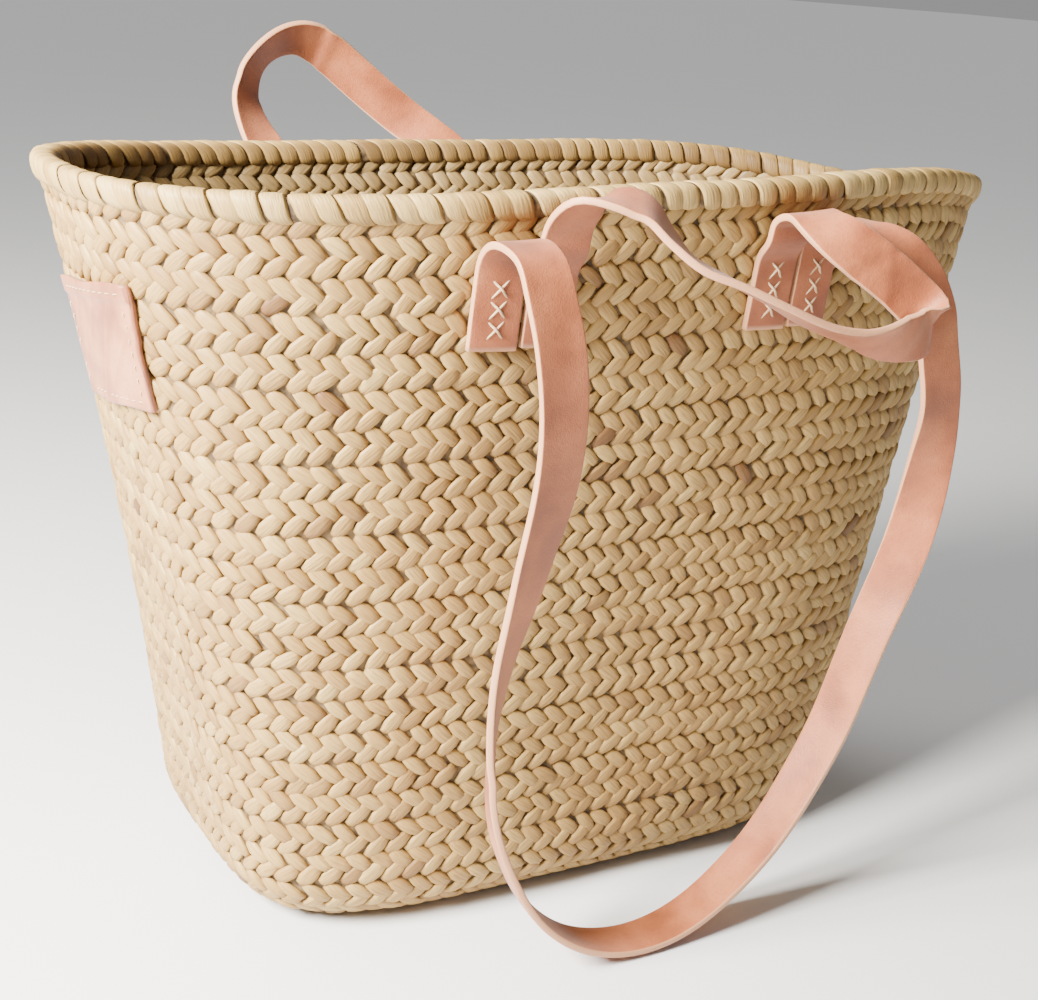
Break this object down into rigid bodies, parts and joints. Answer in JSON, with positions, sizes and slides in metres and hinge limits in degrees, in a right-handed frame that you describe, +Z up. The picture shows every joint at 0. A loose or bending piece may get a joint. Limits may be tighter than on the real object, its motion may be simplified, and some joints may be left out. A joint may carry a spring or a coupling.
{
  "type": "woven market basket",
  "caption": "Oval basket of sewn palm braid with a wrapped rim, upright leather hand straps and longer hanging leather shoulder straps, laced on with thread.",
  "frame": {"origin": "centre of the flat underside of the base", "axes": "+X along the long side towards the end with no patch, +Z up, the front side with the flopped hand strap faces -Y"},
  "size_m": [0.4348, 0.3255, 0.3569],
  "materials": {
    "palm": "dry palm-leaf braid, satin",
    "palm_rim": "dry palm-leaf strip, satin",
    "leather_tan": "vegetable-tanned leather, satin",
    "leather_pale": "pale vegetable-tanned leather, matt",
    "thread": "waxed natural thread, matt"
  },
  "bodies": {
    "basket": {"base": "palm", "wall": "palm", "rim_core": "palm_rim", "rim_binding": "palm_rim", "patch": "leather_pale", "patch_thread": "thread", "front_long_tab_left": "leather_tan", "front_long_lacing_left": "thread", "front_long_tab_right": "leather_tan", "front_long_lacing_right": "thread", "front_short_tab_left": "leather_tan", "front_short_lacing_left": "thread", "front_short_tab_right": "leather_tan", "front_short_lacing_right": "thread", "back_short_tab_left": "leather_tan", "back_short_lacing_left": "thread", "back_short_tab_right": "leather_tan", "back_short_lacing_right": "thread", "back_long_tab_left": "leather_tan", "back_long_lacing_left": "thread", "back_long_tab_right": "leather_tan", "back_long_lacing_right": "thread"},
    "front_long_strap": {"front_long_loop": "leather_tan"},
    "front_short_strap": {"front_short_loop": "leather_tan"},
    "back_short_strap": {"back_short_loop": "leather_tan"},
    "back_long_strap": {"back_long_loop": "leather_tan"}
  },
  "joints": [
    {"name": "front_long_swing", "type": "hinge", "parent": "basket", "child": "front_long_strap", "pos_m": [-0.0075, -0.11912, 0.30184], "axis": [-0.9989, 0.0087, -0.0465], "range_deg": [0, 120]},
    {"name": "front_short_swing", "type": "hinge", "parent": "basket", "child": "front_short_strap", "pos_m": [-0.0075, -0.11528, 0.29697], "axis": [-0.999, 0.0067, -0.0435], "range_deg": [-45, 0]},
    {"name": "back_short_swing", "type": "hinge", "parent": "basket", "child": "back_short_strap", "pos_m": [-0.03, 0.11462, 0.28495], "axis": [0.9994, 0.0288, 0.0181], "range_deg": [-100, 0]},
    {"name": "back_long_swing", "type": "hinge", "parent": "basket", "child": "back_long_strap", "pos_m": [-0.03, 0.11825, 0.29003], "axis": [0.9992, 0.0361, 0.0177], "range_deg": [0, 120]}
  ]
}
